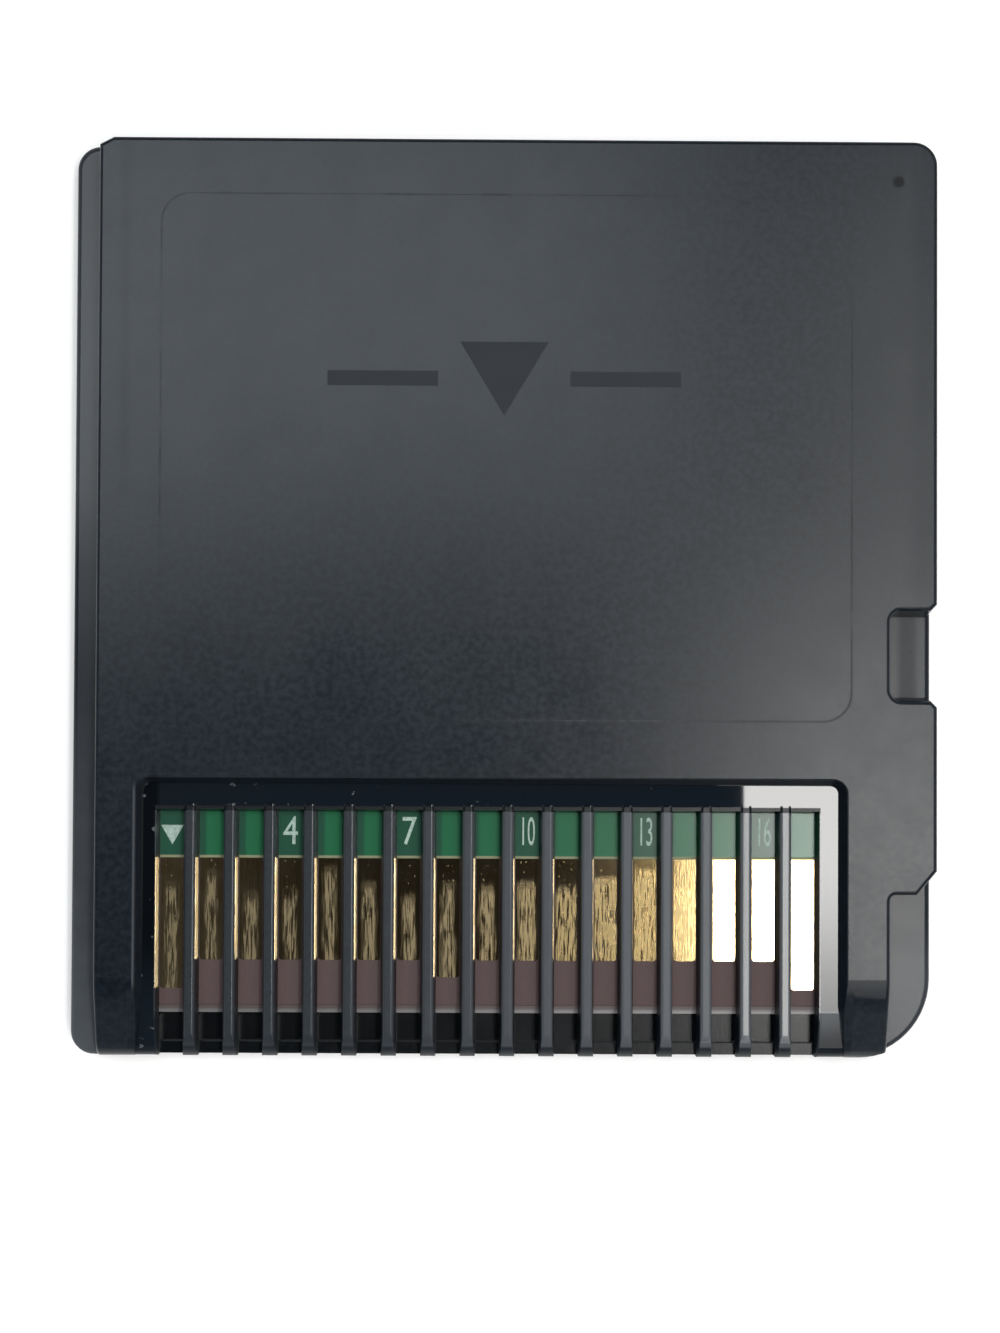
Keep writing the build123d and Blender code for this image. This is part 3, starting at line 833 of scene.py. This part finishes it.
def arrow_finish(looks):
    """Finely etched plastic of the raised insertion arrow."""
    finish = new_finish("arrow_etched_plastic")
    cloud = finish.noise(finish.place(), scale=0.8, detail=3.0)
    return finish.surface(
        Base_Color=finish.mix(cloud, shaded(looks.colour, ETCHED_SHARE), looks.colour),
        Roughness=finish.blend(cloud, ETCHED_ROUGHNESS),
        IOR=PLASTIC_INDEX,
        Specular_IOR_Level=looks.face_gloss,
    )


def raise_outline(corners, bottom, rise):
    """New flat piece over a closed outline, raised by a thickness."""
    start_piece()
    bpy.ops.mesh.primitive_circle_add(vertices=len(corners), radius=1.0, fill_type="NGON")
    piece = bpy.context.active_object
    for vertex, (x, y) in zip(piece.data.vertices, corners):
        vertex.co = (x, y, bottom)
    thicken(rise)


class GAMECARD_OT_shells(bpy.types.Operator):
    """Give both shells their moulded plastic and raise the insertion arrow"""

    bl_idname = "gamecard.shells"
    bl_label = "Finish Shells"

    def execute(self, context):
        looks = context.scene.game_card_shell
        dress(["rear_shell"], rear_finish(looks))
        dress(["front_shell"], front_finish(looks))

        etched = arrow_finish(looks)
        middle_x, middle_y = looks.arrow_middle
        half = looks.arrow_size / 2
        bottom = face_z * MM - looks.panel_depth
        mirrored = [(-across, along) for across, along in ARROW_BAR]
        shapes = {"arrow_tip": ARROW_TIP, "arrow_right_bar": ARROW_BAR, "arrow_left_bar": mirrored}
        for name, shape in shapes.items():
            corners = [(middle_x + across * half, middle_y + along * half) for across, along in shape]
            raise_outline(corners, bottom, looks.arrow_rise)
            seat_piece(name, etched)
        return {"FINISHED"}


# Contacts

# Stretches of the wear patterns, in cells to the millimetre along each axis
BROAD_STRETCH = (7.0, 0.7, 1.0)
STREAK_STRETCH = (15.0, 1.2, 1.0)
SCRATCH_STRETCH = (26.0, 1.6, 1.0)
PIT_STRETCH = (11.0, 7.0, 1.0)

# Contacts, counted from 0, between which the plating and its wear change, and the painted highlight
# and shade along the row
LATE_NUMBERS = (7.0, 12.0)
LAST_NUMBERS = (9.5, 13.5)
MIRROR_BRIGHT_NUMBERS = (11.0, 14.5)
AMBER_NUMBERS = (11.5, 13.5)
AMBER_SOFT = 0.4

# Wiped stretch along a contact, in millimetres
LEAST_WEAR_START = 0.35
WIPED_END = (0.9, 0.3)
STREAK_REACH = 1.2

# Wiped track across a contact's pitch, on early and on late contacts
TRACK_LEFT = (0.33, 0.22)
TRACK_RIGHT = (0.66, 0.77)
STREAK_START = (0.34, 0.42)
STREAK_FULL = (0.60, 0.57)
LATE_SCRATCH_SHARES = (1.0, 0.6)

# Limits and shares of the wear on all contacts
TRACK_SOFT = 0.07
TRACK_WANDER = 0.25
SCRATCH_SHARES = (0.06, 1.0)
PIT_LIMITS = (0.66, 0.74)
WEAR_LIMITS = (0.0, 0.45)
TARNISH_LIMITS = (0.35, 0.65)

# Shares of the plating's colour in each channel, for tarnish, for the painted amber shade and for the
# painted highlight on late wear
TARNISHED_SHARES = (0.86, 0.80, 0.70)
AMBER_SHARES = (0.52, 0.48, 0.38)
LIT_WEAR_SHARES = (1.45, 1.36, 1.05)


def gold_finish(looks):
    """Gold plating, mirror-like at its top and scratched lengthwise where springs wipe it, with
    painted highlight and shade along the row.
    """
    finish = new_finish("contact_plating")
    place = finish.place()
    x, y = finish.axes(place)[:2]
    broad = finish.noise(finish.stretch(place, BROAD_STRETCH), scale=1.0, detail=3.0)
    streaks = finish.noise(finish.stretch(place, STREAK_STRETCH), scale=1.0, detail=5.0)
    scratches = finish.noise(finish.stretch(place, SCRATCH_STRETCH), scale=1.0, detail=2.0)
    pits = finish.noise(finish.stretch(place, PIT_STRETCH), scale=1.0, detail=2.0)
    tarnish = finish.noise(place, scale=1.3, detail=3.0)
    number, across = contact_cells(x)
    chance = finish.node("ShaderNodeTexWhiteNoise", {"noise_dimensions": "1D"}, {"W": number})
    wear_y = pad_top_y - looks.wear_start / MM * (LEAST_WEAR_START + chance)
    wiped = finish.rise(y + streaks * STREAK_REACH - wear_y, *WIPED_END)
    late = finish.rise(number, *LATE_NUMBERS)
    last = finish.rise(number, *LAST_NUMBERS)
    left, right = finish.blend(late, TRACK_LEFT), finish.blend(late, TRACK_RIGHT)
    track = finish.between(across + broad.swing(TRACK_WANDER), left, right, TRACK_SOFT)
    start, full = finish.blend(late, STREAK_START), finish.blend(late, STREAK_FULL)
    worn = wiped * track * finish.rise(streaks, start, full)
    pitted = track * finish.rise(pits, *PIT_LIMITS)
    # Painted highlight: the wiped wear fades out on the last contacts, leaving them bright plating
    # where they mirror the lamps
    wear = worn.larger(pitted) * (1.0 - finish.rise(number, *MIRROR_BRIGHT_NUMBERS))
    height = scratches * finish.blend(track, SCRATCH_SHARES) * finish.blend(late, LATE_SCRATCH_SHARES)

    tarnished = shaded(looks.colour, *TARNISHED_SHARES)
    amber = shaded(looks.colour, *AMBER_SHARES)
    toned = shaded(looks.colour, looks.wear_shade)
    plating = finish.mix(finish.rise(tarnish, *TARNISH_LIMITS), tarnished, looks.colour)
    # Painted shade: contacts 12 and 13 take a darker amber plating
    plating = finish.mix(finish.between(number, *AMBER_NUMBERS, AMBER_SOFT), plating, amber)
    # Wiped wear, painted brighter and more golden on the late contacts: real wear with painted
    # highlight
    wear_and_highlight = finish.mix(late, toned, shaded(toned, *LIT_WEAR_SHARES))
    return finish.surface(
        Base_Color=finish.mix(finish.rise(wear, *WEAR_LIMITS), plating, wear_and_highlight),
        Metallic=1.0,
        Roughness=looks.roughness + wear * looks.wear_roughness + last * looks.last_roughness,
        Normal=finish.bump(height, looks.scratch_depth),
    )


class GAMECARD_OT_contacts(bpy.types.Operator):
    """Give the contacts their worn gold plating"""

    bl_idname = "gamecard.contacts"
    bl_label = "Finish Contacts"

    def execute(self, context):
        names = [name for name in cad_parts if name.startswith("contact_")]
        dress(names, gold_finish(context.scene.game_card_contact))
        return {"FINISHED"}


# Circuit board

# Copper traces under the mask: contacts counted from 0, and places across a contact's pitch
TRACE_NUMBERS = (6.0, 9.0)
TRACE_LEFT = (0.36, 0.24)
TRACE_RIGHT = 0.90
TRACE_SOFT = 0.04
PRINTED_LIMITS = (0.6, 0.4)

# Laminate and its cut edge, the edge painted darker at the left and lighter at the right: shares of
# their colours, and places in millimetres
WEAVE_STRETCH = (6.0, 6.0, 2.0)
WEAVE_DEPTH = 0.006 * MM
PALE_SHARE = 1.25
EDGE_DEPTH = (0.01, 0.04)
EDGE_SHARES = (0.80, 1.55)
EDGE_X = (-10.0, 12.0)
CUT_FROM_EDGE = (0.22, 0.05)
CUT_SHARES = (0.30, 1.0)
BOARD_ROUGHNESS = (0.50, 0.145)
BOARD_GLOSS = 0.28

# Print: its ink, its triangle, and its numbers' size and widths by digits
THIN_INK_SHARE = 0.72
INK_LIMITS = (0.35, 0.60)
INK_DEPTH = 0.003 * MM
TRIANGLE_RADIUS = 0.5 * MM
TEXT_SIZE_SHARE = 1.35
NUMBER_WIDTHS = {1: 0.80, 2: 0.40}


def board_finish(looks):
    """Green mask above the contacts, bare laminate below them, cut fibres on the edge."""
    finish = new_finish("board_laminate_bare")
    place = finish.place()
    x, y, z = finish.axes(place)
    weave = finish.noise(finish.stretch(place, WEAVE_STRETCH), scale=1.0, detail=3.0)
    mask_y = pad_top_y + looks.mask_gap / MM
    masked = finish.rise(y, mask_y - SOFT, mask_y + SOFT)
    number, across = contact_cells(x)
    left = finish.ramp(number, TRACE_NUMBERS, TRACE_LEFT)
    traced = finish.between(across, left, TRACE_RIGHT, TRACE_SOFT)
    printed = finish.rise(number % looks.number_step, *PRINTED_LIMITS)
    green = finish.mix(traced * (1.0 - printed), looks.mask_colour, looks.trace_colour)
    pale = shaded(looks.laminate_colour, PALE_SHARE)
    bare = finish.mix(weave, looks.laminate_colour, pale)
    bare = finish.mix(finish.rise(y, pad_top_y - SOFT, pad_top_y + SOFT), bare, looks.lip_colour)
    on_edge = finish.rise(board_z - z, *EDGE_DEPTH)
    # Painted shade and highlight: the cut edge is darker at the left and lighter at the right
    shaded_edge, lit_edge = (shaded(looks.edge_colour, share) for share in EDGE_SHARES)
    fibres = finish.mix(finish.rise(x, *EDGE_X), shaded_edge, lit_edge)
    fibres = finish.mix(finish.ramp(y - board_low.y, CUT_FROM_EDGE, CUT_SHARES), pale, fibres)
    return finish.surface(
        Base_Color=finish.mix(on_edge, finish.mix(masked, bare, green), fibres),
        Roughness=finish.blend(masked, BOARD_ROUGHNESS),
        Specular_IOR_Level=BOARD_GLOSS,
        Normal=finish.bump(weave * (1.0 - masked) + masked, WEAVE_DEPTH),
    )


def ink_finish(looks):
    """Thin white print with a little green showing through."""
    finish = new_finish("board_ink_white")
    speckle = finish.noise(finish.place(), scale=9.0, detail=3.0)
    thin = shaded(looks.ink_colour, THIN_INK_SHARE)
    return finish.surface(
        Base_Color=finish.mix(finish.rise(speckle, *INK_LIMITS), thin, looks.ink_colour),
        Roughness=0.45,
        Normal=finish.bump(speckle, INK_DEPTH),
    )


class GAMECARD_OT_board(bpy.types.Operator):
    """Give the circuit board its mask, laminate and cut edge"""

    bl_idname = "gamecard.board"
    bl_label = "Finish Board"

    def execute(self, context):
        dress(["circuit_board"], board_finish(context.scene.game_card_board))
        return {"FINISHED"}


class GAMECARD_OT_print(bpy.types.Operator):
    """Print the first-contact triangle and plain contact numbers on the board"""

    bl_idname = "gamecard.print"
    bl_label = "Print Board Marks"

    def execute(self, context):
        looks = context.scene.game_card_board
        ink = ink_finish(looks)
        y = pad_top_y * MM + looks.print_y
        z = board_z * MM

        start_piece()
        bpy.ops.mesh.primitive_circle_add(
            vertices=3, radius=TRIANGLE_RADIUS, fill_type="NGON",
            location=(pad_x * MM, y, z), rotation=(0, 0, math.pi),
        )
        thicken(looks.ink_thickness)
        seat_piece("first_contact_mark", ink)

        count = round((last_pad_high.x - pad_low.x) / pad_pitch)
        for number in range(1 + looks.number_step, count + 1, looks.number_step):
            start_piece()
            x = (pad_x + (number - 1) * pad_pitch) * MM
            bpy.ops.object.text_add(location=(x, y, z + looks.ink_thickness / 2))
            text = bpy.context.active_object
            text.data.body = str(number)
            text.data.align_x = "CENTER"
            text.data.align_y = "CENTER"
            text.data.size = looks.number_height * TEXT_SIZE_SHARE
            text.data.extrude = looks.ink_thickness / 2
            text.scale.x = NUMBER_WIDTHS[len(text.data.body)]
            bpy.ops.object.convert(target="MESH")
            seat_piece(f"contact_number_{number:02d}", ink)
        return {"FINISHED"}


# Parts inside the shells

RESIN_COLOURS = ((0.010, 0.010, 0.011), (0.018, 0.018, 0.019))
RESIN_ROUGHNESS = (0.45, 0.60)
RESIN_DEPTH = 0.006 * MM
TIN_COLOURS = ((0.52, 0.52, 0.50), (0.68, 0.68, 0.67))
TIN_ROUGHNESS = (0.28, 0.46)
CERAMIC_COLOURS = {"capacitor": (0.20, 0.12, 0.06), "resistor": (0.012, 0.012, 0.014)}
CERAMIC_ROUGHNESS = (0.30, 0.45)
SPECKLE_SHARE = 1.2
CAP_COLOUR = (0.60, 0.60, 0.58)
CAP_SOFT = 0.01
HALF_WAIST_SHARE = 0.28


def resin_finish():
    """Black moulding resin with a fine matte grain."""
    finish = new_finish("chip_moulding_resin")
    place = finish.place()
    grain = finish.noise(place, scale=12.0, detail=3.0)
    cloud = finish.noise(place, scale=0.8, detail=2.0)
    return finish.surface(
        Base_Color=finish.mix(cloud, *RESIN_COLOURS),
        Roughness=finish.blend(grain, RESIN_ROUGHNESS),
        Normal=finish.bump(grain, RESIN_DEPTH),
    )


def tin_finish():
    """Dull tin plating on the chips' leads."""
    finish = new_finish("lead_tin_plating")
    cloud = finish.noise(finish.place(), scale=5.0, detail=3.0)
    return finish.surface(
        Base_Color=finish.mix(cloud, *TIN_COLOURS),
        Metallic=1.0,
        Roughness=finish.blend(cloud, TIN_ROUGHNESS),
    )


def ceramic_finish(name, body, middles, half_waist):
    """Ceramic waists between tinned end caps, on parts with these middles along Y."""
    finish = new_finish(name)
    place = finish.place()
    speckle = finish.noise(place, scale=14.0, detail=2.0)
    y = finish.axes(place)[1]
    waists = 0.0
    for middle in middles:
        waists = waists + finish.between(y, middle - half_waist, middle + half_waist, CAP_SOFT)
    ceramic = finish.mix(speckle, body, shaded(body, SPECKLE_SHARE))
    return finish.surface(
        Base_Color=finish.mix(waists, CAP_COLOUR, ceramic),
        Metallic=1.0 - waists,
        Roughness=finish.blend(speckle, CERAMIC_ROUGHNESS),
    )


class GAMECARD_OT_parts(bpy.types.Operator):
    """Finish the chips, leads, capacitors and resistors inside the shells"""

    bl_idname = "gamecard.parts"
    bl_label = "Finish Inner Parts"

    def execute(self, context):
        dress(["rom_chip", "save_chip"], resin_finish())
        dress(["rom_leads", "save_leads"], tin_finish())
        for kind, body in CERAMIC_COLOURS.items():
            names = sorted(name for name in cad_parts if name.startswith(kind))
            boxes = [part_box(name) for name in names]
            middles = sorted({round((low.y + high.y) / 2 / MM, 3) for low, high in boxes})
            half_waist = (boxes[0][1].y - boxes[0][0].y) / MM * HALF_WAIST_SHARE
            dress(names, ceramic_finish(f"{kind}_ceramic_glaze", body, middles, half_waist))
        return {"FINISHED"}


# Studio

# Directions between which the room's light changes, from -1 to 1 along each axis
LEFT_CEILING = (-0.02, -0.14)
NEAR_WALLS = (-0.10, -0.55)
OVERHEAD = (0.40, 0.85)

FLOOR_SHADE_SHARE = 0.99
CAMERA_CLIP = 0.01


def soft_lamp(settings, height):
    """Level soft box over a rectangle of the floor, with a given face brightness."""
    start_piece()
    low, high = settings.low, settings.high
    middle = ((low[0] + high[0]) / 2, (low[1] + high[1]) / 2, height)
    bpy.ops.object.light_add(type="AREA", location=middle)
    lamp = bpy.context.active_object
    lamp.name = settings.name
    lamp.data.shape = "RECTANGLE"
    lamp.data.size = high[0] - low[0]
    lamp.data.size_y = high[1] - low[1]
    lamp.data.color = settings.colour
    lamp.data.energy = settings.radiance * math.pi * lamp.data.size * lamp.data.size_y


def room_light(looks):
    """World that is dim overhead and on the camera's side, and pale towards the floor."""
    world = bpy.data.worlds.new("pale_room")
    finish = Finish(world)
    x, y, up = finish.axes(finish.node("ShaderNodeTexCoord", output="Generated"))
    ceiling = looks.zenith + finish.rise(x, *LEFT_CEILING) * looks.zenith_left
    walls = looks.horizon - finish.rise(y, *NEAR_WALLS) * looks.horizon * looks.near_shade
    strength = finish.ramp(up, OVERHEAD, (walls, ceiling))
    shader = finish.node("ShaderNodeBackground", inputs={"Color": (1, 1, 1, 1), "Strength": strength})
    finish.node_output("ShaderNodeOutputWorld", shader)
    return world


def floor_finish(looks):
    """Pale floor that glows a little where it is seen or mirrored, and is clear from below."""
    finish = new_finish("pale_floor_paint")
    cloud = finish.noise(finish.place(), scale=0.02, detail=2.0)
    shade = shaded(looks.floor_colour, FLOOR_SHADE_SHARE)
    seen = finish.node("ShaderNodeLightPath", output="Is Camera Ray")
    for ray in ("Is Glossy Ray", "Is Transmission Ray"):
        seen = seen.larger(finish.node("ShaderNodeLightPath", output=ray))
    paint = finish.node("ShaderNodeBsdfPrincipled", inputs={
        "Base Color": finish.mix(cloud, shade, looks.floor_colour),
        "Roughness": 1.0,
        "Specular IOR Level": 0.0,
        "Emission Color": finish.mix(seen, (0, 0, 0), (1, 1, 1)),
        "Emission Strength": looks.floor_glow,
    })
    clear = finish.node("ShaderNodeBsdfTransparent")
    below = finish.node("ShaderNodeNewGeometry", output="Backfacing")
    finish.node_output("ShaderNodeOutputMaterial", finish.node(
        "ShaderNodeMixShader", inputs={0: below, 1: paint, 2: clear},
    ))
    return finish.owner


def open_floor(looks):
    """Wide floor with an opening that the card covers, so that light reaches its underside."""
    low, high = card_box
    near = low.y + looks.floor_nose_margin
    far = high.y - looks.floor_margin
    right = high.x - looks.floor_margin
    small, wide = looks.corner_radius, looks.round_corner_radius
    arcs = (
        (right - wide, near + wide, wide, -90),
        (right - small, far - small, small, 0),
        (small - right, far - small, small, 90),
        (small - right, near + small, small, 180),
    )
    corners = []
    for x, y, radius, start in arcs:
        for step in range(CORNER_STEPS + 1):
            turn = math.radians(start + 90 * step / CORNER_STEPS)
            corners.append((x + radius * math.cos(turn), y + radius * math.sin(turn)))
    start_piece()
    bpy.ops.mesh.primitive_circle_add(vertices=len(corners), radius=1.0, fill_type="NOTHING")
    floor = bpy.context.active_object
    for vertex, (x, y) in zip(floor.data.vertices, corners):
        vertex.co = (x, y, -looks.floor_gap)
    spread = looks.floor_reach / right
    bpy.ops.object.mode_set(mode="EDIT")
    bpy.ops.mesh.select_all(action="SELECT")
    bpy.ops.mesh.extrude_edges_move(TRANSFORM_OT_translate={"value": (0, 0, 0)})
    bpy.ops.transform.resize(value=(spread, spread, 1), center_override=(0, 0, -looks.floor_gap))
    bpy.ops.object.mode_set(mode="OBJECT")
    if floor.data.polygons[0].normal.z < 0:
        floor.data.flip_normals()
    return floor


class GAMECARD_OT_stage(bpy.types.Operator):
    """Set the floor, the lamps, the world and the camera"""

    bl_idname = "gamecard.stage"
    bl_label = "Set Stage"

    def execute(self, context):
        looks = context.scene.game_card_stage
        floor = open_floor(looks)
        floor.name = "pale_floor"
        floor.data.materials.append(floor_finish(looks))

        for lamp in LAMPS:
            soft_lamp(lamp, looks.lamp_height)
        context.scene.world = room_light(looks)
        context.scene.view_settings.view_transform = "Standard"

        bpy.ops.object.camera_add(location=looks.camera_place, rotation=looks.camera_turn)
        camera = context.active_object
        camera.data.lens = looks.camera_lens
        camera.data.clip_start = CAMERA_CLIP
        context.scene.camera = camera
        return {"FINISHED"}


class GAMECARD_PT_looks(bpy.types.Panel):
    """Steps and settings of the game card's looks"""

    bl_label = "Game Card"
    bl_idname = "GAMECARD_PT_looks"
    bl_space_type = "VIEW_3D"
    bl_region_type = "UI"
    bl_category = "Game Card"

    def draw(self, context):
        for step in STEPS:
            self.layout.operator(step.bl_idname)
        for name in SETTINGS:
            looks = getattr(context.scene, name)
            box = self.layout.box()
            for item in looks.__annotations__:
                box.prop(looks, item)


STEPS = (
    GAMECARD_OT_shells,
    GAMECARD_OT_contacts,
    GAMECARD_OT_board,
    GAMECARD_OT_print,
    GAMECARD_OT_parts,
    GAMECARD_OT_stage,
)
SETTINGS = {
    "game_card_shell": ShellLooks,
    "game_card_contact": ContactLooks,
    "game_card_board": BoardLooks,
    "game_card_stage": StageLooks,
}


def register():
    """Register the classes and hang the settings on the scene."""
    for kind in (*SETTINGS.values(), *STEPS, GAMECARD_PT_looks):
        bpy.utils.register_class(kind)
    for name, kind in SETTINGS.items():
        setattr(bpy.types.Scene, name, PointerProperty(type=kind))


def unregister():
    """Take the settings and classes away again."""
    for name in SETTINGS:
        delattr(bpy.types.Scene, name)
    for kind in (GAMECARD_PT_looks, *reversed(STEPS), *SETTINGS.values()):
        bpy.utils.unregister_class(kind)


def main():
    """Register the classes and run every step in order."""
    register()
    for step in STEPS:
        group, name = step.bl_idname.split(".")
        getattr(getattr(bpy.ops, group), name)()


if __name__ == "__main__":
    main()
